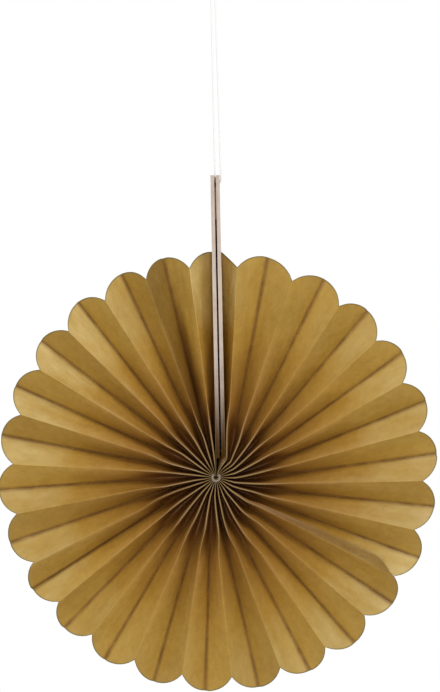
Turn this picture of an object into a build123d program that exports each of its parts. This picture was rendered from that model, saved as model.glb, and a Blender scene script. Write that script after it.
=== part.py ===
"""Paper fan rosette, hung from a loop of thread.

A long accordion of kraft sheets, glued end to end, is opened to a full circle. Its two end panels are
glued to the outer faces of two greyboard cards that stand side by side above the centre, held together
by a strip of double-sided foam. A thread binds the inner ends of the pleats, and a second thread,
tied into a loop, passes through the right-hand card and hangs the fan from a hook.

Millimetres. X to the right, Y to the back, Z up; the face looks along -Y. The origin is the inside
top of the hanging loop. A clock angle is measured from straight up, clockwise as the face is seen.
"""
from build123d import *
from math import asin, ceil, cos, floor, pi, sin, sqrt, tan
import os

# The fan
lobes = 26                  # scallops round the rim, each two panels wide
tip_radius = 125.5          # middle of the rim circle to a lobe's tip
lobe_depth = 8.6            # tip to notch
rim_slope = 30.0            # degrees that a panel leans out of the face at the tips
paper_thickness = 0.12
hub_radius = 2.9            # inner ends of the pleats, from the binding's middle
rim_right, rim_up = 0.9, 3.2  # the rim circle's middle, from the binding's middle
end_panel_share = 0.65      # the first open panel beside a card, against the others
hub_block = 0.3             # half width kept clear between the first and last folds at the hub
glue_film = 0.04            # between an end panel and its card
lap, lap_step = 5.0, 1.5    # glued overlap of two sheets, and the step beside it
edge_facets = 4             # straight cuts that make up the scalloped edge of one panel
seams = 17, 35              # glued joints of the sheets, in panels clockwise from the cards

# The cards
card_thickness = 2.1
card_slit = 1.0             # gap between the cards
card_foot = 11.0            # lower end, above the binding's middle
card_top = 171.6            # upper end, above the binding's middle
card_offset = 2.87          # the pair's middle line passes this far right of the binding's middle
card_lean = 1.157           # degrees, top to the left
thread_hole_radius = 1.4
thread_hole_depth = 4.0     # hole below the card's upper end
foam_length, foam_width = 18.0, 12.0
foam_below_top = 7.0

# The binding thread: a horseshoe round the hub, open towards the cards
binding_thread_radius = 0.7
binding_clearance = 0.15    # between the thread and the pleats' inner ends
binding_gap = 70.0          # degrees left open at the top
binding_front = 5.5         # in front of the fan's middle plane

# The hanging thread
thread_diameter = 0.9
hook_drop = 111.4           # inside top of the loop to the cards' upper ends
hub_right = 1.85            # the binding's middle hangs this far right of the hook
knot_radius, knot_length, knot_drop = 1.1, 2.4, 6.0
knot_clearance = 0.03
thread_route = [
    (3.0, 0, -115.4), (4.7, 0, -115.4), (1.1, 0, 0.45),
    (-1.1, 0, 0.45), (1.35, 0, -115.4), (2.8, 0, -115.4),
]
hook_arc = 1.0              # the loop's bend round the hook, on the thread's middle line
hole_arcs = 0.76, 0.64      # its bends into the hole, outside and in the slit

panels = 2 * lobes
pleat_width = 2 * pi * tip_radius / panels / cos(rim_slope * pi / 180)  # one panel, fold to fold
binding_ring_radius = hub_radius - binding_clearance - binding_thread_radius
half_paper = paper_thickness / 2
half_block = card_slit / 2 + card_thickness + glue_film + half_paper
hub = Vector(hub_right, 0, -hook_drop - card_top)
lean_slope = tan(card_lean * pi / 180)
stations = [hub_radius, 6.0, card_foot, 20.0, 38.0, 70.0]  # sections across the folds, inside the edge


def card_line(radius):
    """The cards' middle line, right of the hub, fading to nothing at the hub."""
    shift = card_offset - lean_slope * radius
    return shift * min(1, (radius - hub_radius) / (card_foot - hub_radius))


def block_width(radius):
    """Half the width that the cards take between the first and the last fold."""
    share = min(1, (radius - hub_radius) / (card_foot - hub_radius))
    return hub_block + (half_block - hub_block) * share


def fold_angle(place, radius):
    """Clock angle in radians of a place along the band, in panels from the first open one; the open
    panels share what the cards leave of the circle."""
    first = asin((card_line(radius) + block_width(radius)) / radius)
    last = 2 * pi - asin((block_width(radius) - card_line(radius)) / radius)
    share = (last - first) / (panels - 2 + 2 * end_panel_share)
    if place <= 0:
        return first
    if place >= panels:
        return last
    return first + share * (place - 1 + end_panel_share)


def fold_point(fold, radius):
    """A point on a fold: even folds lie at the back, odd folds are the ridges in front."""
    angle = fold_angle(fold, radius)
    spacing = 2 * pi * radius / panels
    height = sqrt(max(pleat_width ** 2 - spacing ** 2, 0)) / 2
    if fold <= 0 or fold >= panels:
        height = pleat_width / 2
    side = 1 if fold % 2 == 0 else -1
    return hub + Vector(radius * sin(angle), side * height, radius * cos(angle))


def panel_frame(fold, radius):
    """The two fold points of the panel after a fold, and the panel's normal, towards the back."""
    start, end = fold_point(fold, radius), fold_point(fold + 1, radius)
    if fold < 0:
        return start, end, Vector(-1, 0, 0)
    if fold >= panels:
        return start, end, Vector(1, 0, 0)
    angle = (fold_angle(fold, radius) + fold_angle(fold + 1, radius)) / 2
    normal = (end - start).cross(Vector(sin(angle), 0, cos(angle))).normalized()
    return start, end, normal if normal.Y > 0 else -normal


def flat_node(place, radius, layer):
    """Section of flat paper inside a panel: a point on each side. Layer 1 is glued behind layer 0."""
    fold = floor(place)
    start, end, normal = panel_frame(fold, radius)
    middle = start + (end - start) * (place - fold) + normal * (layer * paper_thickness)
    return [middle - normal * half_paper], [middle + normal * half_paper]


def fold_node(fold, radius):
    """Section of a fold: two points outside, squared off, and one inside, where the faces meet."""
    _, here, normal_before = panel_frame(fold - 1, radius)
    _, _, normal_after = panel_frame(fold, radius)
    to_back = Vector(0, 1 if fold % 2 == 0 else -1, 0)
    half_cosine = max(sqrt(max(1 + normal_before.dot(normal_after), 0) / 2), 1e-3)
    angle = fold_angle(fold, radius)
    across = Vector(cos(angle), 0, -sin(angle))
    land = half_paper * sqrt((1 - half_cosine) / (1 + half_cosine))
    outside = [here + to_back * half_paper - across * land, here + to_back * half_paper + across * land]
    inside = [here - to_back * min(half_paper / half_cosine, pleat_width / 3)]
    return (inside, outside) if to_back.Y > 0 else (outside, inside)


def edge_distance(place):
    """The scalloped edge, from the hub: a circular arc over two panels, notch to notch, whose middle
    line is a circle round the rim's own middle."""
    from_tip = abs((place + 1) % 2 - 1) * pleat_width
    arc = (pleat_width ** 2 + lobe_depth ** 2) / (2 * lobe_depth)
    circle = tip_radius - arc + sqrt(arc ** 2 - from_tip ** 2)
    angle = fold_angle(place, tip_radius)
    along = rim_right * sin(angle) + rim_up * cos(angle)
    across = rim_right * cos(angle) - rim_up * sin(angle)
    return along + sqrt(circle ** 2 - across ** 2)


def sheet_places(first_panel, last_panel):
    """Where a sheet's section is cut across, in panels, each with its layer. A sheet that starts at
    a glued lap starts behind the one before it and steps forward past the lap."""
    half_lap = lap / 2 / pleat_width
    lap_shares = (0.5 - half_lap, 0.5, 0.5 + half_lap)
    start, end = -1, panels + 1
    places, closing = [(start, 0)], [(end, 0)]
    if first_panel > 0:
        start = first_panel + lap_shares[-1] + lap_step / pleat_width
        places = [(first_panel + share, 1) for share in lap_shares] + [(start, 0)]
    if last_panel < panels:
        end = last_panel + lap_shares[0]
        closing = [(last_panel + share, 0) for share in lap_shares]
    facets = range(floor(start * edge_facets) + 1, ceil(end * edge_facets))
    return places + [(facet / edge_facets, 0) for facet in facets] + closing


def sheet_section(places, distance):
    """The nodes of a sheet's section; distance gives the radius at each place."""
    nodes = []
    for place, layer in places:
        radius = distance(place)
        if place == floor(place) and 0 <= place <= panels:
            nodes.append(fold_node(int(place), radius))
        else:
            nodes.append(flat_node(min(place, panels + 0.999), radius, layer))
    return nodes


def triangles(*corners):
    """Flat faces that fill a three- or four-cornered patch."""
    fans = [(corners[0], corners[i], corners[i + 1]) for i in range(1, len(corners) - 1)]
    return [Face(Wire.make_polygon(fan, close=True)) for fan in fans]


def end_cap(nodes):
    """Faces across a section, over each fold and from node to node."""
    faces = []
    for front, back in nodes:
        if len(front) + len(back) == 3:
            faces += triangles(*front, *reversed(back))
    for (front, back), (next_front, next_back) in zip(nodes, nodes[1:]):
        faces += triangles(front[-1], next_front[0], next_back[0], back[-1])
    return faces


def pleated_sheet(first_panel, last_panel):
    """One sheet as flat facets between its sections, from the hub to the scalloped edge."""
    places = sheet_places(first_panel, last_panel)
    sections = [sheet_section(places, lambda place: radius) for radius in stations]
    sections.append(sheet_section(places, edge_distance))
    fronts = [[point for front, _ in nodes for point in front] for nodes in sections]
    backs = [[point for _, back in nodes for point in back] for nodes in sections]
    faces = end_cap(sections[0]) + end_cap(sections[-1])
    for chains in (fronts, backs):
        for inner, outer in zip(chains, chains[1:]):
            for i in range(len(inner) - 1):
                faces += triangles(inner[i], inner[i + 1], outer[i + 1], outer[i])
    for i in (0, -1):
        for j in range(len(sections) - 1):
            faces += triangles(fronts[j][i], fronts[j + 1][i], backs[j + 1][i], backs[j][i])
    return Solid(Shell(faces))


def on_cards(x, z):
    """A place on the leaning cards: x from the pair's middle line, z up from the hub."""
    return Pos(*hub) * Pos(card_offset, 0, 0) * Rot(0, -card_lean, 0) * Pos(x, 0, z)


def card(side, holed):
    """One greyboard strip, side -1 left and 1 right."""
    x = side * (card_slit + card_thickness) / 2
    length = card_top - card_foot
    strip = on_cards(x, card_foot + length / 2) * Box(card_thickness, pleat_width, length)
    if holed:
        hole = Rot(0, 90, 0) * Cylinder(thread_hole_radius, 2 * card_thickness)
        strip -= on_cards(x, card_top - thread_hole_depth) * hole
    return strip


def foam_strip():
    """The double-sided foam between the cards, below the thread."""
    z = card_top - foam_below_top - foam_length / 2
    return on_cards(0, z) * Box(card_slit, foam_width, foam_length)


def binding():
    """The binding thread, with rounded ends."""
    place = Pos(*hub) * Pos(0, -binding_front, 0) * Rot(90, 0, 0)
    sweep_angle = 360 - binding_gap
    start = 90 + binding_gap / 2
    ring = Rot(0, 0, start) * Torus(binding_ring_radius, binding_thread_radius, major_angle=sweep_angle)
    for end in (start, start + sweep_angle):
        ring += Rot(0, 0, end) * Pos(binding_ring_radius, 0, 0) * Sphere(binding_thread_radius)
    return place * ring


def hanging_thread():
    """One loop of thread: out of the hole, over the hook and down through the slit."""
    radii = [hole_arcs[0], hook_arc, hook_arc, hole_arcs[1]]
    path = FilletPolyline(*thread_route, radius=radii)
    print("thread radii", radii, "length", round(path.length, 1))
    start = Plane(origin=path @ 0, z_dir=path % 0)
    return sweep(start * Circle(thread_diameter / 2), path=path)


def loop_knot():
    """The overhand knot that closes the loop, a short barrel round its right-hand strand."""
    lower, upper = Vector(thread_route[1]), Vector(thread_route[2])
    strand = (upper - lower).normalized()
    middle = upper - strand * (knot_drop + upper.Z)
    barrel = Cylinder(knot_radius, knot_length)
    barrel = fillet(barrel.edges().filter_by(GeomType.CIRCLE), radius=knot_radius / 2)
    barrel -= Cylinder(thread_diameter / 2 + knot_clearance, 2 * knot_length)
    return Plane(origin=middle, z_dir=strand).location * barrel


def build():
    """All the pieces by name."""
    return {
        "fan_sheet_right": pleated_sheet(0, seams[0]),
        "fan_sheet_lower": pleated_sheet(seams[0], seams[1]),
        "fan_sheet_left": pleated_sheet(seams[1], panels),
        "card_left": card(-1, holed=False),
        "card_right": card(1, holed=True),
        "foam_strip": foam_strip(),
        "centre_binding": binding(),
        "hanging_thread": hanging_thread(),
        "loop_knot": loop_knot(),
    }


os.makedirs("parts", exist_ok=True)
for name, piece in build().items():
    export_step(piece, f"parts/{name}.step")
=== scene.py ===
"""Paper fan rosette: an accordion of golden kraft paper opened to a full circle between two
greyboard cards, bound by a thread at its hub and hung from a loop of white thread.

Every shape is a surface of two parameters, worked out as whole arrays. Lengths are in metres, in
the frame of the CAD model: X to the right, Y to the back, Z up, the face towards -Y. A clock
angle is measured from straight up, clockwise as the face is seen. A place along the band is
counted in panels, so whole numbers are folds: even ones lie at the back, odd ones in front.
"""
import math

import bmesh
import bpy
import numpy as np
from bpy.props import FloatProperty, FloatVectorProperty, IntProperty, PointerProperty
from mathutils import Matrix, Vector


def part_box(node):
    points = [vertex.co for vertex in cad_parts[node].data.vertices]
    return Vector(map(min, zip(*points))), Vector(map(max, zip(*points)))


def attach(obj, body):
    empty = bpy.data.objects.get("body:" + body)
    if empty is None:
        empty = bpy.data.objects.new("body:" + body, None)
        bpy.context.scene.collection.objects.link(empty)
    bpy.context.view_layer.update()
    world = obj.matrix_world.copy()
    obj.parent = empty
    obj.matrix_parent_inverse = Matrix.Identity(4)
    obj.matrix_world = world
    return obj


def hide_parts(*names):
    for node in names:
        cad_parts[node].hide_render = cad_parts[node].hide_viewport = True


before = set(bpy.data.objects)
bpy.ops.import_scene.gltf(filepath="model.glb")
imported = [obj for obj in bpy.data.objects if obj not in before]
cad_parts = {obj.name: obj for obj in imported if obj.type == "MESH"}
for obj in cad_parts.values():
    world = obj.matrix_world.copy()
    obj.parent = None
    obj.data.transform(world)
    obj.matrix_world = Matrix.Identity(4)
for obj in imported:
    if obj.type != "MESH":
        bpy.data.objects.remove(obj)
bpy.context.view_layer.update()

bl_info = {
    "name": "Paper Fan Rosette",
    "version": (1, 0, 0),
    "blender": (4, 5, 0),
    "location": "View3D > Sidebar > Paper Fan",
    "description": "Pleated paper fan opened to a full circle, with its cards and threads",
    "category": "Add Mesh",
}

MM = 0.001
BODY = "root"


def hub_place():
    """The binding's middle: its horseshoe is as wide as a full ring, and its lowest point is
    round."""
    low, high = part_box("centre_binding")
    return np.array([(low[0] + high[0]) / 2, 0.0, low[2] + (high[0] - low[0]) / 2])


HUB = hub_place()


# ------------------------ sizes and colours

class FanSizes(bpy.types.PropertyGroup):
    """Sizes of the fan's pieces."""
    lobes: IntProperty(name="Lobes", description="Scallops round the rim", default=26, min=6)
    tip_radius: FloatProperty(
        name="Tip radius", description="Middle of the rim circle to a lobe's tip",
        default=0.1255, min=0.02, unit='LENGTH', subtype='DISTANCE')
    lobe_depth: FloatProperty(
        name="Lobe depth", description="Lobe tip to notch",
        default=0.0089, min=0.0, unit='LENGTH', subtype='DISTANCE')
    pleat_width: FloatProperty(
        name="Pleat width", description="One panel, fold to fold",
        default=0.0175, min=0.002, unit='LENGTH', subtype='DISTANCE')
    paper: FloatProperty(
        name="Paper", description="Thickness of the kraft paper",
        default=0.00012, min=0.00002, unit='LENGTH', subtype='DISTANCE')
    hub_radius: FloatProperty(
        name="Hub radius", description="Inner ends of the pleats",
        default=0.0029, min=0.0005, unit='LENGTH', subtype='DISTANCE')
    rim_right: FloatProperty(
        name="Rim right", description="The rim's middle, right of the hub",
        default=0.0009, unit='LENGTH', subtype='DISTANCE')
    rim_up: FloatProperty(
        name="Rim up", description="The rim's middle, above the hub",
        default=0.0032, unit='LENGTH', subtype='DISTANCE')
    crest: FloatProperty(
        name="Crest", description="Half width of a ridge fold's blunt crest near the hub",
        default=0.00028, min=0.0, unit='LENGTH', subtype='DISTANCE')
    crease: FloatProperty(
        name="Crease", description="Half width of a valley fold's crease",
        default=0.00010, min=0.0, unit='LENGTH', subtype='DISTANCE')
    thread: FloatProperty(
        name="Hanging thread", description="Diameter of the hanging thread",
        default=0.0009, min=0.0002, unit='LENGTH', subtype='DISTANCE')
    binding_thread: FloatProperty(
        name="Binding thread", description="Diameter of the binding thread at the hub",
        default=0.0014, min=0.0002, unit='LENGTH', subtype='DISTANCE')


class FanColours(bpy.types.PropertyGroup):
    """Colours of the fan's materials."""
    kraft: FloatVectorProperty(
        name="Kraft", description="Golden kraft paper", subtype='COLOR',
        default=(0.44, 0.262, 0.042), min=0.0, max=1.0)
    kraft_dark: FloatVectorProperty(
        name="Kraft, dark fibres", description="Darker mottling of the paper",
        subtype='COLOR', default=(0.35, 0.192, 0.026), min=0.0, max=1.0)
    # Painted shade: the browner paper towards the hub stands in for the shade deep between the
    # pleats
    kraft_hub_shade: FloatVectorProperty(
        name="Kraft, towards the hub", description="Browner paper between the hub and the lobes",
        subtype='COLOR', default=(0.29, 0.130, 0.021), min=0.0, max=1.0)
    # Painted sheen: pale patches, strongest on the panels that face the light and on the steep
    # panels beside the cards
    kraft_sheen: FloatVectorProperty(
        name="Kraft, pale patches", description="Painted sheen patches on the lobes",
        subtype='COLOR', default=(0.62, 0.48, 0.20), min=0.0, max=1.0)
    # A greyer brown on the ridges near the hub
    crest_tone: FloatVectorProperty(
        name="Crest", description="Greyer ridges near the hub", subtype='COLOR',
        default=(0.25, 0.155, 0.060), min=0.0, max=1.0)
    # The creases' own darker fibres, with painted shade down in the valley folds
    crease_tone: FloatVectorProperty(
        name="Crease", description="Brown fibres and painted shade of the folded creases", subtype='COLOR',
        default=(0.12, 0.046, 0.008), min=0.0, max=1.0)
    cut_edge: FloatVectorProperty(
        name="Cut edge", description="Olive shade along the cut edge", subtype='COLOR',
        default=(0.15, 0.12, 0.04), min=0.0, max=1.0)
    board: FloatVectorProperty(
        name="Greyboard", description="Cut edge of the cards", subtype='COLOR',
        default=(0.57, 0.475, 0.41), min=0.0, max=1.0)
    board_dark: FloatVectorProperty(
        name="Greyboard, dark plies", description="Darker plies of the cards",
        subtype='COLOR', default=(0.40, 0.32, 0.27), min=0.0, max=1.0)
    foam: FloatVectorProperty(
        name="Foam", description="Double-sided foam between the cards", subtype='COLOR',
        default=(0.36, 0.25, 0.18), min=0.0, max=1.0)
    thread: FloatVectorProperty(
        name="Thread", description="White hanging thread", subtype='COLOR',
        default=(0.93, 0.93, 0.93), min=0.0, max=1.0)
    binding: FloatVectorProperty(
        name="Binding", description="Waxed binding thread", subtype='COLOR',
        default=(0.27, 0.245, 0.19), min=0.0, max=1.0)


def sizes():
    return bpy.context.scene.paper_fan_sizes


def colours():
    return bpy.context.scene.paper_fan_colours


# ------------------------ meshes

def add_object(name, data):
    """An object in the scene for a mesh, a curve, a lamp or a camera."""
    obj = bpy.data.objects.new(name, data)
    bpy.context.scene.collection.objects.link(obj)
    return obj


def make_object(name, vertices, faces, attributes=None):
    """A mesh object at the origin from an array of points, and an array or list of faces."""
    mesh = bpy.data.meshes.new(name)
    faces = faces if isinstance(faces, list) else faces.tolist()
    mesh.from_pydata(vertices.reshape(-1, 3).tolist(), [], faces)
    for label, values in (attributes or {}).items():
        layer = mesh.attributes.new(label, 'FLOAT', 'POINT')
        layer.data.foreach_set("value", np.ascontiguousarray(values, dtype=np.float32).ravel())
    mesh.polygons.foreach_set("use_smooth", np.full(len(mesh.polygons), True))
    mesh.update()
    return add_object(name, mesh)


def grid_faces(rows, columns, close_columns=False):
    """Quads over a grid of points stored row after row; the columns may close into a ring."""
    row = np.arange(rows - 1)[:, None] * columns
    last = columns if close_columns else columns - 1
    column = np.arange(last)[None, :]
    after = (column + 1) % columns
    corners = (row + column, row + after, row + columns + after, row + columns + column)
    return np.stack(corners, axis=-1).reshape(-1, 4)


def smooth_step(low, high, value):
    """0 below low, 1 above high, and a smooth cubic between."""
    share = np.clip((value - low) / (high - low), 0.0, 1.0)
    return share * share * (3 - 2 * share)


def tube(path, radius, sides, lobes=0, lobe_height=0.0, pitch=1.0):
    """A closed tube carried along a path, as its points, faces and plies' height. Its section is a
    circle, or a circle whose radius swells into lobes that turn about the path once in each pitch,
    as twisted plies do. The section's directions are carried along without twist, and the ends are
    closed with fans."""
    path = np.asarray(path, dtype=float)
    step = np.diff(path, axis=0)
    along = np.concatenate([[0.0], np.cumsum(np.linalg.norm(step, axis=1))])
    tangent = np.gradient(path, axis=0)
    tangent /= np.linalg.norm(tangent, axis=1)[:, None]
    side = np.zeros_like(path)
    guess = np.array([0.0, 1.0, 0.0])
    for i, direction in enumerate(tangent):
        guess = guess - direction * guess.dot(direction)
        guess /= np.linalg.norm(guess)
        side[i] = guess
    up = np.cross(tangent, side)
    turn = np.linspace(0, 2 * np.pi, sides, endpoint=False)[None, :]
    twist = lobes * turn - 2 * np.pi * lobes * along[:, None] / pitch
    swell = np.abs(np.cos(twist / 2))
    reach = radius * (1 - lobe_height + lobe_height * swell)
    rings = (path[:, None, :] + side[:, None, :] * (reach * np.cos(turn))[..., None]
             + up[:, None, :] * (reach * np.sin(turn))[..., None])
    count = len(path)
    faces = grid_faces(count, sides, close_columns=True)
    start, end = count * sides, count * sides + 1
    ring = np.arange(sides)
    after = (ring + 1) % sides
    caps = [[start, int(b), int(a)] for a, b in zip(ring, after)]
    base = (count - 1) * sides
    caps += [[end, int(base + a), int(base + b)] for a, b in zip(ring, after)]
    vertices = np.concatenate([rings.reshape(-1, 3), path[:1], path[-1:]])
    return vertices, faces.tolist() + caps, np.append(swell.ravel(), [1.0, 1.0])


def tube_object(name, path, radius, sides, **plies):
    """A tube as an object, with its plies' height kept as the attribute 'ply'."""
    vertices, faces, height = tube(path, radius, sides, **plies)
    return make_object(name, vertices, faces, {"ply": height})


# ------------------------ the pleated band

BACK_BLOCK = 0.05 * MM  # half the gap at the back, where the end panels meet below the cards
HUB_OPENING = 0.75  # the opening below the cards' feet narrows to this share at the hub
CORE_RADIUS = 0.08 * MM  # the pleats' valleys pinch together to this radius behind the binding
CARD_THICKNESS = 2.1 * MM
GLUE = 0.07 * MM  # card face to the middle of the paper glued on it
END_SHARE = 0.65  # the first open panel beside a card, against the others
LAP_SINK = 0.16 * MM  # under a lap, the rear sheet lies this far behind the front one
HUB_DIMPLE = 3.0 * MM  # the binding pulls the ridges back this far at the hub
UPRIGHT, SHARP = 2.3, 1.35  # powers of the panels' curve near the hub and further out
FLAP_LEAN = 0.30  # a glued flap's slope against that of the panel it carries on
FLATTEN = 0.36  # between the hub and the lobes, folds stand this much less deep
SOFT_RADIUS = 11 * MM  # away from the cards, folds run straight to the hub from about here
LEAST_STAND = 0.3  # a fold stands off the middle plane by at least this share
CREST_LEFT = 0.2  # out on the panels, this share of a ridge's blunt crest is left
BLUNT_SHARE = 0.2  # a crest or crease takes at most this share of a panel
CORE_POWER = 4  # between two folds the inner ends keep close to the core
TUCKED_CORE = 0.6, 0.8  # the end panels' inner ends leave the core between these shares
RIPPLE = 0.10 * MM  # height of the shallow waves along a panel
RIPPLE_LENGTHS = 11 * MM, 5.3 * MM, 2.9 * MM

# The valley left of the cards gapes: its place past its fold, its half width and its extra depth
GAP_PLACE, GAP_WIDTH, GAP_DEPTH = 0.10, 1.9 * MM, 2.6 * MM

# Radii over which something sets in, or dies away, from the hub outwards
SLIP_ZONE = 3 * MM, 26 * MM  # the folds' slip and their swing
LIFT_ZONE = 10 * MM, 40 * MM  # the folds' uneven rise
CROWN_ZONE = 12 * MM, 70 * MM  # the panels' bulge and waves
CREST_ZONE = 26 * MM, 52 * MM  # the blunt crests thin out
GAP_ZONE = 30 * MM, 50 * MM  # the gaping valley opens
GAP_END = 78 * MM, 118 * MM  # and closes again
OUTER_ZONE = 60 * MM, 110 * MM  # the folds' small swing at the rim
FLAP_ZONE = 20 * MM, 105 * MM  # a glued flap's lean
FLAT_ZONE = 70 * MM, 105 * MM  # the panels become flat
LOBE_ZONE = 85 * MM, 112 * MM  # the flattening ends
DIMPLE_END = 9 * MM  # the hub's dimple ends here

# How far the folds have slipped clockwise as the fan hangs, by fold
SLIP_FOLDS = (0, 1, 4, 10, 17, 24, 30, 35, 40, 44, 48, 50, 51, 52)
SLIP_DEGREES = (0.0, -0.1, 2.2, 1.4, 1.2, 2.2, 3.1, 2.4, 3.1, 2.4, 1.3, -0.9, -1.4, 0.0)


def card_faces(radius):
    """Right of the hub, the outer faces of the right-hand and left-hand cards at a height above
    it, and the height of their feet. The cards lean to the left, so a box's far corners lie on the
    faces."""
    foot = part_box("card_right")[0][2] - HUB[2]
    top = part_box("card_right")[1][2] - HUB[2]
    share = (radius - foot) / (top - foot)
    (right_low, right_high), (left_low, left_high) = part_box("card_right"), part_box("card_left")
    right = right_high[0] + (right_low[0] + CARD_THICKNESS - right_high[0]) * share
    left = left_high[0] - CARD_THICKNESS + (left_low[0] - left_high[0] + CARD_THICKNESS) * share
    return right - HUB[0], left - HUB[0], foot


def open_span(radius, at_back=False):
    """Clock angles of the band's two ends. Beside the cards they are straight. Below the cards'
    feet the front stays open as a wedge, and the back closes."""
    right, _, foot = card_faces(radius)
    corner = np.hypot(foot, np.max(right))
    beyond = np.maximum(radius, corner)
    right, left, _ = card_faces(beyond)
    first, last = np.arcsin((right + GLUE) / beyond), np.arcsin((left - GLUE) / beyond)
    if at_back:
        share = smooth_step(corner - 0.5 * MM, corner + 0.3 * MM, radius)
        shut = np.arcsin(np.minimum(BACK_BLOCK / radius, 0.1))
        first, last = share * first + (1 - share) * shut, share * last - (1 - share) * shut
    else:
        wide = smooth_step(sizes().hub_radius, corner, radius)
        narrow = HUB_OPENING + (1 - HUB_OPENING) * wide
        first, last = first * narrow, last * narrow
    return first, 2 * np.pi + last


class Pleats:
    """The fan's folds as functions of fold number and radius, with a seeded unevenness: each fold
    swings a little sideways halfway out, where it stands upright, and rises or sinks a little."""

    def __init__(self):
        self.count = 2 * sizes().lobes
        self.span = self.count - 2 + 2 * END_SHARE
        random = np.random.default_rng(26)
        folds = np.arange(self.count + 1)
        ridge = folds % 2 == 1
        self.slip = np.radians(np.interp(folds, SLIP_FOLDS, SLIP_DEGREES))
        swing = random.uniform(-3.4, 3.4, self.count + 1)
        between = (np.roll(swing, 1) + np.roll(swing, -1)) / 2
        between += random.uniform(-1.2, 1.2, self.count + 1)
        self.inner_swing = np.radians(np.where(ridge, swing, between))
        self.outer_swing = np.radians(random.uniform(-0.25, 0.25, self.count + 1))
        self.lift = random.uniform(-1, 1, self.count + 1) * np.where(ridge, 0.35, 0.5) * MM
        self.kink_radius = random.uniform(26, 46, self.count + 1) * MM
        self.step = random.uniform(-0.28, 0.28, self.count + 2) * MM
        self.step[[32, 34]] = 0.35 * MM, 0.55 * MM  # beside the left-hand sheet's seam
        self.bulge = random.uniform(-0.5, 0.6, self.count + 2) * MM
        self.phase = random.uniform(0, 2 * np.pi, (3, self.count + 2))
        # Each panel's own tone, darker at random; then painted shade on three panels left of the
        # cards and none on the two beside them
        self.shade = random.uniform(0.0, 0.3, self.count + 2)
        self.shade[[-6, -5, -4, -3, 0]] = 0.3, 0.9, 0.15, 0.0, 0.0  # beside the cards
        for values in (self.inner_swing, self.outer_swing, self.lift):
            values[[0, -1]] = 0.0

    def angle(self, fold, radius):
        """Clock angle of a fold: even shares of the open circle, plus the slip, plus a swing that
        fades at the hub and beyond the fold's own kink."""
        first, last = open_span(radius)
        share = np.clip((fold - 1 + END_SHARE) / self.span, 0, 1)
        flare = np.hypot(np.maximum(radius, SOFT_RADIUS), SOFT_RADIUS)
        soft = np.arcsin((card_faces(radius)[0] + GLUE) / flare)
        away = smooth_step(0.02, 0.14, share)
        even = (1 - share) * ((1 - away) * first + away * soft) + share * last
        back_first, back_last = open_span(radius, at_back=True)
        ends = {-1: first, 0: back_first, self.count: back_last, self.count + 1: last}
        for end, place in ends.items():
            even = np.where(fold == end, place, even)
        index = np.clip(fold, 0, self.count)
        hub = smooth_step(*SLIP_ZONE, radius)
        middle = hub * (1 - self.opened(index, radius))
        outer = smooth_step(*OUTER_ZONE, radius)
        swing = self.inner_swing[index] * middle + self.outer_swing[index] * outer
        return even + self.slip[index] * hub + swing

    def opened(self, fold, radius):
        """0 near the hub, where a fold stands upright, and 1 beyond its kink, where it opens."""
        kink = self.kink_radius[np.clip(fold, 0, self.count)]
        return smooth_step(kink * 0.72, kink * 1.18, radius)

    def height(self, fold, radius):
        """Depth of a fold: panels keep their width, so a fold stands off the middle plane by half
        the root of the width squared less the local spacing squared."""
        width = sizes().pleat_width
        spacing = radius * (self.angle(fold + 1, radius) - self.angle(fold - 1, radius)) / 2
        least = (LEAST_STAND * width) ** 2
        stand = np.sqrt(np.clip(width ** 2 - spacing ** 2, least, None)) / 2
        inside = (fold > 0) & (fold < self.count)
        inward = 1 - smooth_step(*LOBE_ZONE, radius)
        stand *= 1 - FLATTEN * self.opened(fold, radius) * inward
        stand = np.where(inside, stand, width / 2)
        side = np.where(fold % 2 == 0, 1.0, -1.0)
        dimple = 1 - smooth_step(sizes().hub_radius, DIMPLE_END, radius)
        dimple = HUB_DIMPLE * dimple * (side < 0)
        lift = self.lift[np.clip(fold, 0, self.count)] * smooth_step(*LIFT_ZONE, radius)
        return side * stand + dimple + np.where(inside, lift, 0.0)

    def edge(self, place):
        """Radius of the scalloped edge: a circular arc from notch to notch over two panels, round
        the rim's middle, with a small step at each tip where two panels meet. The half lobe right
        of the cards was cut straight."""
        width, depth = sizes().pleat_width, sizes().lobe_depth
        share = np.abs((place + 1) % 2 - 1)
        arc = (width ** 2 + depth ** 2) / (2 * depth)
        circle = sizes().tip_radius - arc + np.sqrt(arc ** 2 - (share * width) ** 2)
        beside = (place > 0) & (place < 1)
        circle = np.where(beside, sizes().tip_radius - depth * share, circle)
        panel = np.clip(np.floor(place).astype(int), 0, self.count)
        circle = circle + self.step[panel] * smooth_step(0.0, 0.1, share)
        first, last = open_span(circle)
        panels = np.clip(place - 1 + END_SHARE, 0, self.span)
        turn = first + (last - first) / self.span * panels
        along = sizes().rim_right * np.sin(turn) + sizes().rim_up * np.cos(turn)
        across = sizes().rim_right * np.cos(turn) - sizes().rim_up * np.sin(turn)
        return along + np.sqrt(circle ** 2 - across ** 2)

    def puff(self, fold, part, radius):
        """How far a panel's paper stands off the flat: a bulge over its middle, with long shallow
        waves along it. The tucked end panels are glued flat."""
        panel = np.clip(fold, 0, self.count)
        crown = np.sin(np.pi * part) * smooth_step(*CROWN_ZONE, radius)
        long, middling, short = (radius / length for length in RIPPLE_LENGTHS)
        wave = (np.sin(long + self.phase[0][panel] + 2.2 * part)
                + 0.6 * np.sin(middling + self.phase[1][panel] - 3.1 * part)
                + 0.35 * np.sin(short + self.phase[2][panel] + 5.0 * part))
        inside = (fold >= 0) & (fold < self.count)
        return np.where(inside, crown * (self.bulge[panel] + RIPPLE * wave), 0.0)

    def gape(self, place, spacing, radius):
        """1 at the deepest of the gaping valley, falling to 0 around it."""
        panels = place - self.count + 2
        aside = (panels - GAP_PLACE) * spacing / GAP_WIDTH
        along = smooth_step(*GAP_ZONE, radius) * (1 - smooth_step(*GAP_END, radius))
        return np.where(np.abs(panels) < 1, np.exp(-aside ** 2) * along, 0.0)

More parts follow.
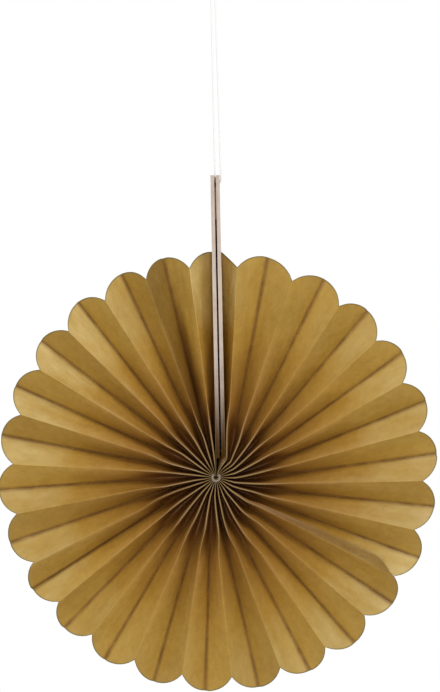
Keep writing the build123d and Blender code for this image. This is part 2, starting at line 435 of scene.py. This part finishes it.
    def surface(self, place, share, flap_fold):
        """A point of the band, with its radius and its painted shade in the closed valleys.
        share runs from the hub to the cut edge. Between two folds the paper is straight, but for a
        blunt crest on each ridge, a narrow crease in each valley, and what puff() adds. Its inner
        ends run from the core at a valley to the hub radius at a ridge. Before flap_fold the paper
        isn't folded, but carries on in front of the panel it is glued to."""
        unfolded = place < flap_fold
        fold = np.where(unfolded, flap_fold, np.floor(place)).astype(int)
        part = place - fold
        from_valley = np.abs((place + 1) % 2 - 1)
        tucked = (place < 0) | (place > self.count)
        reach = np.where(tucked, smooth_step(*TUCKED_CORE, from_valley), from_valley ** CORE_POWER)
        inner = CORE_RADIUS + (sizes().hub_radius - CORE_RADIUS) * reach
        radius = inner + (self.edge(place) - inner) * share
        start, end = self.angle(fold, radius), self.angle(fold + 1, radius)
        low, high = self.height(fold, radius), self.height(fold + 1, radius)
        spacing = radius * (end - start)
        inside = (fold >= 0) & (fold < self.count)
        crest = sizes().crest * (1 - (1 - CREST_LEFT) * smooth_step(*CREST_ZONE, radius))
        limit = BLUNT_SHARE * spacing
        blunt_start = np.minimum(np.where(fold % 2 == 1, crest, sizes().crease), limit)
        blunt_end = np.minimum(np.where(fold % 2 == 1, sizes().crease, crest), limit)
        length = np.maximum(spacing - blunt_start - blunt_end, 1e-9)
        straight = np.clip((part * spacing - blunt_start) / length, 0, 1)
        rise = np.where(inside, self.profile(straight, fold, radius), part)
        lean = FLAP_LEAN * smooth_step(*FLAP_ZONE, radius)
        rise = np.where(unfolded, part * lean, rise)
        across = np.hypot(spacing, high - low)
        puff = np.where(unfolded, 0.0, self.puff(fold, part, radius))
        gap = self.gape(place, spacing, radius)
        turn = start + (end - start) * part - puff * (high - low) / across / radius
        depth = low + (high - low) * rise + puff * spacing / across + GAP_DEPTH * gap
        points = np.stack([radius * np.sin(turn), depth, radius * np.cos(turn)], axis=-1)
        from_valley = np.where(fold % 2 == 0, rise, 1 - rise)
        # Painted shade at the bottoms of the closed valleys near the hub, in the gaping valley and
        # at the core behind the binding
        valley_shade = (1 - self.opened(fold, radius)) * (1 - smooth_step(0.35, 0.95, from_valley))
        valley_shade = np.maximum(valley_shade, gap)
        valley_shade = np.maximum(valley_shade, 1 - smooth_step(1.5 * MM, 3.5 * MM, radius))
        return points + HUB, radius, valley_shade

    def profile(self, part, fold, radius):
        """Share of the way from one fold's depth to the next: near the hub the valleys are round
        and the ridges stand upright, further out the valleys are sharp, and at the rim panels are
        flat."""
        from_valley = np.where(fold % 2 == 0, part, 1 - part)
        out = self.opened(fold, radius)
        flat = smooth_step(*FLAT_ZONE, radius)
        upright = from_valley ** UPRIGHT
        sharp = 1 - (1 - from_valley) ** SHARP
        rise = (1 - out) * upright + out * ((1 - flat) * sharp + flat * from_valley)
        return np.where(fold % 2 == 0, rise, 1 - rise)


def band_places(pleats, first, last, row_share):
    """Places across a stretch of the band, row by row: each panel has points on its two folds,
    beside them at its crest or crease, and evenly between. A stretch may start or end inside a
    panel."""
    columns = []
    for panel in range(math.floor(first.min()), math.ceil(last.max())):
        radius = sizes().hub_radius + (pleats.edge(np.full(row_share.shape, panel + 0.5))
                                       - sizes().hub_radius) * row_share
        spacing = radius * (pleats.angle(panel + 1, radius) - pleats.angle(panel, radius))
        spacing = np.maximum(np.abs(spacing), 0.2 * MM)
        whole = first.max() <= panel and panel + 1 <= last.min() and 0 <= panel < pleats.count
        if whole:
            folds = sizes().crease, sizes().crest
            near = np.minimum(folds[panel % 2] / spacing, BLUNT_SHARE)
            far = np.minimum(folds[1 - panel % 2] / spacing, BLUNT_SHARE)
            low, high = 1.8 * near, 1 - 1.8 * far
            shares = [0 * near, 0.55 * near, near]
            shares += [low + (high - low) * step for step in np.linspace(0, 1, 9)]
            shares += [1 - far, 1 - 0.55 * far]
            columns += [panel + share for share in shares]
        else:
            low = np.maximum(first, panel)
            high = np.minimum(last, panel + 1)
            columns += [low + (high - low) * step for step in np.linspace(0, 1, 9)[:-1]]
    columns.append(last + 0 * row_share)
    return np.stack(columns, axis=1)


# Rows of points from the hub to the cut edge, as shares; the last few are close together
ROW_SHARES = np.concatenate([
    np.linspace(0, 1, 64) ** 1.3 * 0.985, [0.991, 0.995, 0.9975, 0.999, 1.0]])
CREASE_BLUR, CREST_BLUR = 0.36 * MM, 0.5 * MM  # half widths of the folds' masks
CREST_END = 25 * MM, 50 * MM  # radii over which the crests' mask dies away
# The mask towards the hub is painted shade
HUB_SHADE_END = 20 * MM, 112 * MM  # and the mask of the paper towards the hub
CUT_EDGE = 0.25 * MM, 0.85 * MM  # distances from the cut edge over which its mask dies away
SHEEN_RIGHT, SHEEN_UP = 0.95, -0.30  # where the light comes from whose sheen is painted on the panels facing it
LAP_START = 0.08  # panels over which a lapped sheet sinks


def pleated_sheet(name, cad_node, start, end, over_end, flap_fold):
    """One sheet of the band with its thickness. start and end give its first and last place for
    each row, beyond over_end the next sheet lies on it, and before flap_fold is its unfolded flap.
    Its masks are 'crease' at the valley folds, 'crest' at the ridges, 'cut' along the cut edge,
    'inner' for painted shade towards the hub, 'deep' for painted shade in the closed valleys,
    'shade' for each panel's random tone and painted shade beside the cards and on the flap, and
    'faded' for painted sheen on the panels that face the light and on those beside the cards."""
    pleats = Pleats()
    rows = ROW_SHARES
    places = band_places(pleats, start(rows), end(rows), rows)
    share = np.broadcast_to(rows[:, None], places.shape)
    last_place = pleats.count + 0.9999
    points, radius, valley_shade = pleats.surface(np.minimum(places, last_place), share, flap_fold)
    points[..., 1] += LAP_SINK * smooth_step(over_end - LAP_START, over_end, places)
    panel = np.clip(np.floor(places + 1e-9), 0, pleats.count - 1).astype(int)
    panel = np.where(places < flap_fold, flap_fold, panel)
    # Painted sheen: how far each panel faces the light
    middle = pleats.angle(panel + 1, radius) - np.pi / pleats.count
    side = np.where(panel % 2 == 0, 1.0, -1.0)
    lit_sheen = np.clip(side * (SHEEN_RIGHT * np.sin(middle) + SHEEN_UP * np.cos(middle)), 0, 1)
    # painted light on the steep panels beside the cards, which would render dark
    lit_sheen = np.where((panel == 0) | (panel == pleats.count - 1), 0.9, lit_sheen)
    nearest = np.round(places)
    fold_gap = np.abs(places - nearest) * radius * (2 * np.pi / pleats.count)
    valley = nearest % 2 == 0
    crease = np.exp(-(fold_gap / CREASE_BLUR) ** 2)
    crest = np.exp(-(fold_gap / CREST_BLUR) ** 2) * (1 - smooth_step(*CREST_END, radius))
    masks = {
        "crease": np.where(valley, crease, 0.0),
        "crest": np.where(valley, 0.0, crest),
        "cut": 1 - smooth_step(*CUT_EDGE, (1 - share) * sizes().tip_radius),
        "lit_sheen": lit_sheen * (1 - pleats.shade[panel]),
        # painted shade towards the hub
        "inner": 1 - smooth_step(*HUB_SHADE_END, radius),
        # painted shade in the closed valleys
        "valley_shade": valley_shade,
        # painted shade on the unfolded flap; elsewhere each panel's tone and painted shade
        "shade": np.where(places < flap_fold, 0.8, pleats.shade[panel]),
    }
    sheet = make_object(name, points, grid_faces(*places.shape), masks)
    strip = sheet.data.attributes.new("strip", 'FLOAT_VECTOR', 'POINT')
    flat = np.stack([places * sizes().pleat_width, radius, 0 * radius], axis=-1)
    strip.data.foreach_set("vector", flat.astype(np.float32).ravel())
    solid = sheet.modifiers.new("Paper", 'SOLIDIFY')
    solid.thickness, solid.offset = sizes().paper, 0.0
    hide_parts(cad_node)
    return sheet


# ------------------------ materials

class Nodes:
    """A material or a node group being wired up."""

    def __init__(self, tree):
        self.tree = tree

    def feed(self, node, inputs):
        """Each input takes a socket to link, or a value; a colour has three parts."""
        for label, value in inputs.items():
            socket = node.inputs[label]
            if isinstance(value, bpy.types.NodeSocket):
                self.tree.links.new(value, socket)
            else:
                socket.default_value = (*value, 1.0) if socket.type == 'RGBA' else value

    def add(self, kind, inputs=None, **settings):
        """A node with its settings and inputs."""
        made = self.tree.nodes.new(kind)
        for label, value in settings.items():
            setattr(made, label, value)
        self.feed(made, inputs or {})
        return made

    def noise(self, vector, scale, detail=3.0, roughness=0.55):
        return self.add('ShaderNodeTexNoise', {
            "Vector": vector, "Scale": scale, "Detail": detail, "Roughness": roughness,
        }).outputs["Fac"]

    def grain(self, vector, scales, detail=2.0, roughness=0.55, rotation=(0.0, 0.0, 0.0)):
        """Noise with a scale of its own along each axis."""
        stretched = self.add('ShaderNodeMapping', {
            "Vector": vector, "Scale": scales, "Rotation": rotation})
        return self.noise(stretched.outputs["Vector"], 1.0, detail, roughness)

    def ramp(self, value, low, high, to_low=0.0, to_high=1.0):
        return self.add('ShaderNodeMapRange', {
            "Value": value, "From Min": low, "From Max": high, "To Min": to_low, "To Max": to_high,
        }).outputs["Result"]

    def math(self, operation, first, second):
        return self.add('ShaderNodeMath', {0: first, 1: second}, operation=operation).outputs[0]

    def mix(self, share, first, second, blend='MIX'):
        """Two colours mixed."""
        return self.add('ShaderNodeMix', {0: share, 6: first, 7: second},
                        data_type='RGBA', blend_type=blend).outputs[2]

    def place(self):
        return self.add('ShaderNodeTexCoord').outputs["Object"]

    def mask(self, name):
        return self.add('ShaderNodeAttribute', attribute_name=name).outputs["Fac"]

    def bump(self, height, distance, strength=1.0, normal=None):
        inputs = {"Height": height, "Distance": distance, "Strength": strength}
        if normal is not None:
            inputs["Normal"] = normal
        return self.add('ShaderNodeBump', inputs).outputs["Normal"]


def new_material(name):
    """A node material with only its shader and output, and its wiring helper."""
    material = bpy.data.materials.new(name)
    material.use_nodes = True
    nodes = Nodes(material.node_tree)
    return material, nodes, material.node_tree.nodes["Principled BSDF"]


def dimmed(colour, share):
    return tuple(value * share for value in colour)


def fibre_group():
    """Shared by the paper and the board: soft clouding of the pulp, and short fibres lying in two
    crossed directions."""
    tree = bpy.data.node_groups.get("Pulp fibres")
    if tree:
        return tree
    tree = bpy.data.node_groups.new("Pulp fibres", 'ShaderNodeTree')
    tree.interface.new_socket("Place", in_out='INPUT', socket_type='NodeSocketVector')
    for name in ("Clouds", "Fibres"):
        tree.interface.new_socket(name, in_out='OUTPUT', socket_type='NodeSocketFloat')
    nodes = Nodes(tree)
    place = nodes.add('NodeGroupInput').outputs["Place"]
    clouds = nodes.math('ADD', nodes.math('MULTIPLY', nodes.noise(place, 260.0, 4.0, 0.6), 0.6),
                        nodes.math('MULTIPLY', nodes.noise(place, 70.0), 0.4))
    along = nodes.grain(place, (2400.0, 2400.0, 900.0), rotation=(0.0, 0.6, 0.3))
    across = nodes.grain(place, (800.0, 2200.0, 2200.0), rotation=(0.2, 0.5, 0.0))
    fibres = nodes.math('MAXIMUM', along, across)
    nodes.add('NodeGroupOutput', {"Clouds": clouds, "Fibres": fibres})
    return tree


# The darker panels: the paper's random tone, and painted shade beside the cards and on the flap
SHADED = 0.46, 0.42, 0.38  # what the darker panels' colour is multiplied by
# The colour under painted shade in the closed valleys is multiplied by this
CLOSED_SHADE = 0.60, 0.46, 0.41  # and that of the closed valleys


def kraft_material():
    """Golden kraft paper: clouded pulp and crossed fibres, a random tone for each panel, brown
    creases, a dull cut edge and a slight crinkle. Painted shade makes it browner towards the hub,
    darker beside the cards, on the flap and in the closed valleys, and adds to the creases' brown;
    painted sheen makes pale patches on the lobes, most on the panels that face the light."""
    material, nodes, shader = new_material("Golden kraft paper")
    paints = colours()
    place = nodes.place()
    fibres = nodes.add('ShaderNodeGroup', {"Place": place}, node_tree=fibre_group()).outputs
    strip = nodes.add('ShaderNodeAttribute', attribute_name="strip").outputs["Vector"]
    tone = nodes.math('ADD', nodes.ramp(fibres["Clouds"], 0.40, 0.62, 0.0, 0.55),
                      nodes.ramp(fibres["Fibres"], 0.50, 0.80, 0.0, 0.35))
    # Painted shade: the paper turns browner towards the hub, where the pleats stand deep and close
    inner = nodes.mask("inner")
    colour = nodes.mix(tone, nodes.mix(inner, paints.kraft, paints.kraft_hub_shade),
                       nodes.mix(inner, paints.kraft_dark, dimmed(paints.kraft_hub_shade, 0.8)))
    # Painted sheen: pale patches, strongest on the panels that face the light, none near the hub
    patches = nodes.ramp(nodes.grain(strip, (75.0, 30.0, 1.0), 3.0, 0.6), 0.35, 0.65, 0.25, 0.85)
    patches = nodes.math('MULTIPLY', patches, nodes.ramp(inner, 0.0, 0.25, 1.0, 0.0))
    lit_sheen = nodes.ramp(nodes.mask("lit_sheen"), 0.0, 1.0, 0.12, 1.0)
    # The creases' brown: their own darker fibres and painted shade in the valley, unevenly along
    # them
    uneven_crease = nodes.ramp(nodes.noise(place, 120.0), 0.3, 0.65, 0.55, 1.0)
    layers = (
        (nodes.math('MULTIPLY', patches, lit_sheen), paints.kraft_sheen, 'MIX'),
        (nodes.mask("shade"), SHADED, 'MULTIPLY'),
        (nodes.mask("valley_shade"), CLOSED_SHADE, 'MULTIPLY'),
        (nodes.mask("crest"), paints.crest_tone, 'MIX'),
        (nodes.math('MULTIPLY', nodes.mask("crease"), uneven_crease), paints.crease_tone, 'MIX'),
        (nodes.mask("cut"), paints.cut_edge, 'MIX'),
    )
    for share, over, blend in layers:
        colour = nodes.mix(share, colour, over, blend)
    sheen = nodes.ramp(nodes.grain(strip, (90.0, 26.0, 1.0)), 0.35, 0.65, 0.36, 0.62)
    normal = nodes.bump(nodes.noise(place, 130.0), 1.0 * MM, 0.6)
    normal = nodes.bump(nodes.grain(strip, (130.0, 26.0, 1.0), 1.0), 0.9 * MM, 0.5, normal)
    normal = nodes.bump(fibres["Fibres"], 0.025 * MM, 0.4, normal)
    nodes.feed(shader, {"Base Color": colour, "Specular IOR Level": 0.28, "Roughness": sheen,
                        "Normal": normal})
    return material


def board_material():
    """Greyboard seen on its cut edge: thin plies of grey pulp, a rough cut face, and dark brown
    painted shade near the hub."""
    material, nodes, shader = new_material("Greyboard")
    place = nodes.place()
    fibres = nodes.add('ShaderNodeGroup', {"Place": place}, node_tree=fibre_group()).outputs
    plies = nodes.grain(place, (3200.0, 60.0, 60.0), rotation=(0.0, -0.02, 0.0))
    tone = nodes.math('ADD', nodes.ramp(plies, 0.42, 0.66, 0.0, 0.6),
                      nodes.ramp(fibres["Clouds"], 0.45, 0.65, 0.0, 0.4))
    colour = nodes.mix(tone, colours().board, colours().board_dark)
    # Painted shade: dark brown towards the cards' feet, where the pleats beside them shade them
    colour = nodes.mix(nodes.mask("foot"), colour, dimmed(colours().kraft_hub_shade, 0.25))
    height = nodes.math('ADD', plies, nodes.math('MULTIPLY', fibres["Fibres"], 0.6))
    nodes.feed(shader, {"Base Color": colour, "Roughness": 0.9, "Specular IOR Level": 0.04,
                        "Normal": nodes.bump(height, 0.08 * MM, 0.6)})
    return material


def foam_material():
    """Foam tape: round cells of two sizes."""
    material, nodes, shader = new_material("Foam tape")
    place = nodes.place()
    small, large = (nodes.add('ShaderNodeTexVoronoi', {"Vector": place, "Scale": scale})
                    for scale in (2600.0, 1300.0))
    height = nodes.math('MULTIPLY', small.outputs["Distance"], large.outputs["Distance"])
    foam = colours().foam
    colour = nodes.mix(nodes.ramp(height, 0.05, 0.4), dimmed(foam, 0.6), foam)
    nodes.feed(shader, {"Base Color": colour, "Roughness": 0.85,
                        "Normal": nodes.bump(height, 0.15 * MM, 0.8)})
    return material


def thread_material(name, colour, shade, roughness):
    """Spun thread: darker between the plies, with fine fibres across them."""
    material, nodes, shader = new_material(name)
    fuzz = nodes.grain(nodes.place(), (9000.0, 9000.0, 2600.0), rotation=(0.0, 0.7, 0.0))
    base = nodes.mix(nodes.ramp(nodes.mask("ply"), 0.0, 0.8), dimmed(colour, shade), colour)
    base = nodes.mix(nodes.ramp(fuzz, 0.35, 0.7, 0.0, 0.2), base, dimmed(colour, 0.75))
    nodes.feed(shader, {"Base Color": base, "Roughness": roughness,
                        "Normal": nodes.bump(fuzz, 0.05 * MM, 0.6)})
    return material


def finish_piece(piece, material):
    """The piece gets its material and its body."""
    piece.data.materials.clear()
    piece.data.materials.append(material)
    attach(piece, BODY)


# ------------------------ operators

VIEW_HEIGHT = 394.4 * MM  # shown at the fan's depth
VIEW_RIGHT, VIEW_UP = 2.28 * MM, 74.7 * MM  # the view's middle, from the hub
VIEW_DISTANCE = 1.6
SENSOR = 36.0


class PAPERFAN_OT_camera(bpy.types.Operator):
    """Put the camera straight in front of the fan."""
    bl_idname = "paperfan.camera"
    bl_label = "Camera"

    def execute(self, context):
        data = bpy.data.cameras.new("Camera")
        data.sensor_width = SENSOR
        data.lens = SENSOR * VIEW_DISTANCE / VIEW_HEIGHT
        data.clip_start, data.clip_end = 0.05, 20.0
        camera = add_object("Camera", data)
        camera.location = (HUB[0] + VIEW_RIGHT, -VIEW_DISTANCE, HUB[2] + VIEW_UP)
        camera.rotation_euler = (math.pi / 2, 0.0, 0.0)
        context.scene.camera = camera
        return {'FINISHED'}


# The thread's corners, in millimetres right and up: out through the card's hole, up the card's
# outer face, over the hook, down the slit between the cards and back through the hole
THREAD_CORNERS = (
    (3.0, -115.4), (4.7, -115.4), (1.1, 0.45), (-1.1, 0.45), (1.35, -115.4), (2.8, -115.4))
CORNER_REACH = 5.4 * MM  # a long strand is straight from this far off its corners
THREAD_STEP = 0.22 * MM  # between the thread's rings of points
TWO_PLY = {"lobes": 2, "lobe_height": 0.22}
KNOT_TURNS, KNOT_THREAD = 3.0, 0.30 * MM  # turns of thread in the knot, and their radius


def thread_line(context):
    """The hanging thread's centreline: a curve with control points at its corners, and one more on
    each long strand near a corner, read back as points."""
    corners = [Vector((right * MM, 0.0, up * MM)) for right, up in THREAD_CORNERS]
    points = [corners[0]]
    for before, after in zip(corners, corners[1:]):
        strand = after - before
        if strand.length > 4 * CORNER_REACH:
            reach = strand.normalized() * CORNER_REACH
            points += [before + reach, after - reach]
        points.append(after)
    curve = bpy.data.curves.new("Thread line", 'CURVE')
    curve.dimensions = '3D'
    spline = curve.splines.new('NURBS')
    spline.points.add(len(points) - 1)
    for target, point in zip(spline.points, points):
        target.co = (*point, 1.0)
    spline.order_u = 3
    spline.use_endpoint_u = True
    spline.resolution_u = 24
    line = add_object("Thread line", curve)
    context.view_layer.update()
    mesh = bpy.data.meshes.new_from_object(line.evaluated_get(context.evaluated_depsgraph_get()))
    path = np.array([vertex.co for vertex in mesh.vertices], dtype=float)
    bpy.data.objects.remove(line)
    bpy.data.curves.remove(curve)
    bpy.data.meshes.remove(mesh)
    return path


def spaced(path, step):
    """The same line as points at even steps along it, and its length."""
    along = np.concatenate([[0.0], np.cumsum(np.linalg.norm(np.diff(path, axis=0), axis=1))])
    wanted = np.linspace(0.0, along[-1], max(2, round(along[-1] / step)) + 1)
    points = [np.interp(wanted, along, path[:, axis]) for axis in range(3)]
    return np.stack(points, axis=1), along[-1]


class PAPERFAN_OT_thread(bpy.types.Operator):
    """Make the hanging thread and the knot on it."""
    bl_idname = "paperfan.thread"
    bl_label = "Hanging thread"

    def execute(self, context):
        path, length = spaced(thread_line(context), THREAD_STEP)
        white = thread_material("White thread", colours().thread, 0.75, 0.6)
        thread = tube_object("hanging_thread_twisted", path, sizes().thread / 2, 14,
                             pitch=2.6 * MM, **TWO_PLY)
        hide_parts("hanging_thread")
        finish_piece(thread, white)

        low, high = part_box("loop_knot")
        middle = np.array((low + high) / 2)
        nearest = np.argmin(np.linalg.norm(path - middle, axis=1))
        strand = path[nearest + 2] - path[nearest - 2]
        strand /= np.linalg.norm(strand)
        back = np.array((0.0, 1.0, 0.0))
        side = np.cross(strand, back)
        reach = (high[1] - low[1]) / 2 - KNOT_THREAD - 0.02 * MM
        knot_length = (high[2] - low[2]) - 2 * KNOT_THREAD - 0.5 * MM
        share = np.linspace(0.0, 1.0, 150)[:, None]
        turn = 2 * np.pi * KNOT_TURNS * share
        coil = (path[nearest] + strand * knot_length * (share - 0.5)
                + (side * np.cos(turn) + back * np.sin(turn)) * reach)
        knot = tube_object("loop_knot_turns", coil, KNOT_THREAD, 12, pitch=1.8 * MM, **TWO_PLY)
        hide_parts("loop_knot")
        finish_piece(knot, white)
        return {'FINISHED'}


class PAPERFAN_OT_sheets(bpy.types.Operator):
    """Make the three pleated sheets of the band."""
    bl_idname = "paperfan.sheets"
    bl_label = "Pleated sheets"

    def execute(self, context):
        kraft = kraft_material()
        panels = 2 * sizes().lobes

        def flat(place):
            return lambda rows: np.full(rows.shape, float(place))

        def curved(rows):
            """The lower sheet's flap runs out just before fold 17 at the rim."""
            return 16.985 - 0.50 * (1 - smooth_step(0.80, 1.0, rows))

        sheets = (
            ("fan_paper_right", "fan_sheet_right", flat(-1), flat(16.97), 16.42, -2),
            ("fan_paper_lower", "fan_sheet_lower", curved, flat(34.90), 33.99, 17),
            ("fan_paper_left", "fan_sheet_left", flat(34.03), flat(panels + 1), panels + 2, -2),
        )
        for sheet in sheets:
            finish_piece(pleated_sheet(*sheet), kraft)
        return {'FINISHED'}


CARD_BOW = 0.498 * MM  # each card's back edge bends this far towards the other card
BOW_START = 1.4 * MM  # from this far behind the cards' middle
CARD_SINK = 4.0 * MM  # the cards' front edges sink this far between the pleats' feet
SINK_HEIGHT = 42 * MM  # up to this height above the foot
FOOT_SHADE_HEIGHT = 66 * MM  # and the painted shade reaches this high
# Where the cards are cut across for their bends, in millimetres back and above the foot
CUTS_BACK = (1.6, 3.2, 4.8, 6.4)
CUTS_UP = (2, 6, 10, 14, 18, 23, 28, 34, 40, 60, 80, 100)


def board(name, cad_node):
    """A card made from the CAD card: its back edge bowed in, its front edge sunk towards the
    foot, and its corners worn. 'foot' is its mask for the painted shade near the hub."""
    low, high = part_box(cad_node)
    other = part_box("card_left" if cad_node == "card_right" else "card_right")
    inwards = 1.0 if other[0][0] > low[0] else -1.0
    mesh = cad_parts[cad_node].data.copy()
    mesh.name = name
    shape = bmesh.new()
    shape.from_mesh(mesh)
    bmesh.ops.dissolve_limit(shape, angle_limit=0.01, verts=shape.verts, edges=shape.edges)
    cuts = [(Vector((0, 1, 0)), y * MM) for y in CUTS_BACK]
    cuts += [(Vector((0, 0, 1)), low[2] + z * MM) for z in CUTS_UP]
    for normal, place in cuts:
        whole = shape.verts[:] + shape.edges[:] + shape.faces[:]
        bmesh.ops.bisect_plane(
            shape, geom=whole, dist=1e-7, plane_co=normal * place, plane_no=normal)
    shape.to_mesh(mesh)
    shape.free()
    points = np.empty(len(mesh.vertices) * 3)
    mesh.vertices.foreach_get("co", points)
    points = points.reshape(-1, 3)
    rise = (points[:, 2] - low[2]) / (high[2] - low[2])
    width = high[0] - low[0] - CARD_THICKNESS
    middle = (low[0] + high[0]) / 2 + (0.5 - rise) * width
    inner = (points[:, 0] - middle) * inwards > 0.3 * CARD_THICKNESS
    bow = np.clip((points[:, 1] - BOW_START) / (high[1] - BOW_START), 0, 1) ** 1.5
    points[:, 0] += np.where(inner, inwards * CARD_BOW * bow, 0.0)
    sunk = 1 - smooth_step(0.0, SINK_HEIGHT, points[:, 2] - low[2])
    front = np.clip(-points[:, 1] / high[1], 0, 1)
    points[:, 1] += CARD_SINK * sunk * front
    mesh.vertices.foreach_set("co", points.ravel())
    # Mask of painted shade, strongest at the cards' feet
    layer = mesh.attributes.new("foot", 'FLOAT', 'POINT')
    foot_shade = 1 - smooth_step(0.0, FOOT_SHADE_HEIGHT, points[:, 2] - low[2])
    layer.data.foreach_set("value", foot_shade.astype(np.float32))
    mesh.polygons.foreach_set("use_smooth", np.full(len(mesh.polygons), False))
    mesh.update()
    card = add_object(name, mesh)
    worn = card.modifiers.new("Worn corners", 'BEVEL')
    worn.width, worn.segments, worn.limit_method = 0.14 * MM, 2, 'ANGLE'
    worn.angle_limit = math.radians(50)
    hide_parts(cad_node)
    return card


class PAPERFAN_OT_cards(bpy.types.Operator):
    """Make the two cards, and finish the foam between them."""
    bl_idname = "paperfan.cards"
    bl_label = "Cards and foam"

    def execute(self, context):
        material = board_material()
        for side in ("left", "right"):
            finish_piece(board(f"greyboard_{side}", f"card_{side}"), material)
        finish_piece(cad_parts["foam_strip"], foam_material())
        return {'FINISHED'}


class PAPERFAN_OT_binding(bpy.types.Operator):
    """Make the waxed thread bound round the hub."""
    bl_idname = "paperfan.binding"
    bl_label = "Centre binding"

    def execute(self, context):
        low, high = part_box("centre_binding")
        radius = sizes().binding_thread / 2
        ring = (high[0] - low[0]) / 2 - radius
        opening = math.acos(np.clip((high[2] - radius - HUB[2]) / ring, -1, 1))
        turn = np.linspace(opening, 2 * np.pi - opening, 110)
        middle = np.array((HUB[0], (low[1] + high[1]) / 2, HUB[2]))
        path = middle + ring * np.stack([np.sin(turn), 0 * turn, np.cos(turn)], axis=1)
        waxed = thread_material("Waxed thread", colours().binding, 0.35, 0.85)
        binding = tube_object("centre_binding_twisted", path, radius, 24,
                              lobes=3, lobe_height=0.25, pitch=3.6 * MM)
        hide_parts("centre_binding")
        finish_piece(binding, waxed)
        return {'FINISHED'}


WORLD_SOFT = 0.42  # strength of the surroundings' own light
FLOOR_DROP = 0.37  # below the hub
# The floor's rings of points: their radii, and how far each lies below the first
FLOOR_RINGS = (0.002, 0.30, 0.55, 0.60, 0.61)
RING_DROPS = (0.0, 0.0, 0.0, -0.002, -0.012)


def area_light(name, place, size, energy):
    """A square lamp aimed at the hub; place is right, in front and above, from the hub."""
    data = bpy.data.lights.new(name, 'AREA')
    data.size, data.energy = size, energy
    lamp = add_object(name, data)
    right, front, above = place
    lamp.location = (HUB[0] + right, -front, HUB[2] + above)
    lamp.rotation_euler = (Vector(HUB) - lamp.location).to_track_quat('-Z', 'Y').to_euler()


class PAPERFAN_OT_stage(bpy.types.Operator):
    """Make the floor, the white surroundings and the lamps."""
    bl_idname = "paperfan.stage"
    bl_label = "Stage"

    def execute(self, context):
        scene = context.scene
        scene.view_settings.view_transform = 'Standard'
        world = scene.world or bpy.data.worlds.new("World")
        scene.world = world
        world.use_nodes = True
        world.node_tree.nodes.clear()
        nodes = Nodes(world.node_tree)
        rays = nodes.add('ShaderNodeLightPath').outputs
        seen = nodes.math('MAXIMUM', rays["Is Camera Ray"], rays["Is Glossy Ray"])
        seen = nodes.math('MAXIMUM', seen, rays["Is Transmission Ray"])
        soft, white = (
            nodes.add('ShaderNodeBackground', {"Color": colour, "Strength": strength}).outputs[0]
            for colour, strength in (((1.0, 0.97, 0.91), WORLD_SOFT), ((1.0,) * 3, 1.0)))
        mixed = nodes.add('ShaderNodeMixShader', {0: seen, 1: soft, 2: white}).outputs[0]
        nodes.add('ShaderNodeOutputWorld', {"Surface": mixed})

        turn = np.linspace(0.0, 2 * np.pi, 97)[:-1]
        rings = np.array(FLOOR_RINGS)[:, None]
        height = HUB[2] - FLOOR_DROP + np.array(RING_DROPS)[:, None] + 0 * turn
        points = np.stack(
            [HUB[0] + rings * np.cos(turn), rings * np.sin(turn), height], axis=-1)
        faces = grid_faces(len(FLOOR_RINGS), len(turn), close_columns=True)
        floor = make_object("Floor", points, faces[:, ::-1])
        material, wiring, shader = new_material("Pale floor")
        clouds = wiring.noise(wiring.place(), 40.0)
        wiring.feed(shader, {"Base Color": wiring.mix(clouds, (0.80,) * 3, (0.84,) * 3),
                             "Roughness": 0.7})
        floor.data.materials.append(material)

        area_light("Top light", (0.40, 0.75, 0.95), 0.6, 7.0)
        area_light("Front fill", (-0.2, 1.5, 0.05), 1.0, 11.0)
        return {'FINISHED'}


# ------------------------ the add-on

OPERATORS = (
    PAPERFAN_OT_camera, PAPERFAN_OT_thread, PAPERFAN_OT_sheets, PAPERFAN_OT_cards,
    PAPERFAN_OT_binding, PAPERFAN_OT_stage,
)


class PAPERFAN_PT_pieces(bpy.types.Panel):
    """The fan's pieces, in the order they are made."""
    bl_label = "Paper Fan Rosette"
    bl_idname = "PAPERFAN_PT_pieces"
    bl_space_type = 'VIEW_3D'
    bl_region_type = 'UI'
    bl_category = "Paper Fan"

    def draw(self, context):
        for operator in OPERATORS:
            self.layout.operator(operator.bl_idname)
        for group in (context.scene.paper_fan_sizes, context.scene.paper_fan_colours):
            box = self.layout.box()
            for name in group.__annotations__:
                box.prop(group, name)


CLASSES = (FanSizes, FanColours, *OPERATORS, PAPERFAN_PT_pieces)


def register():
    for cls in CLASSES:
        bpy.utils.register_class(cls)
    bpy.types.Scene.paper_fan_sizes = PointerProperty(type=FanSizes)
    bpy.types.Scene.paper_fan_colours = PointerProperty(type=FanColours)


def unregister():
    del bpy.types.Scene.paper_fan_colours
    del bpy.types.Scene.paper_fan_sizes
    for cls in reversed(CLASSES):
        bpy.utils.unregister_class(cls)


def main():
    register()
    bpy.ops.paperfan.camera()
    bpy.ops.paperfan.thread()
    bpy.ops.paperfan.sheets()
    bpy.ops.paperfan.cards()
    bpy.ops.paperfan.binding()
    bpy.ops.paperfan.stage()


if __name__ == "__main__":
    main()
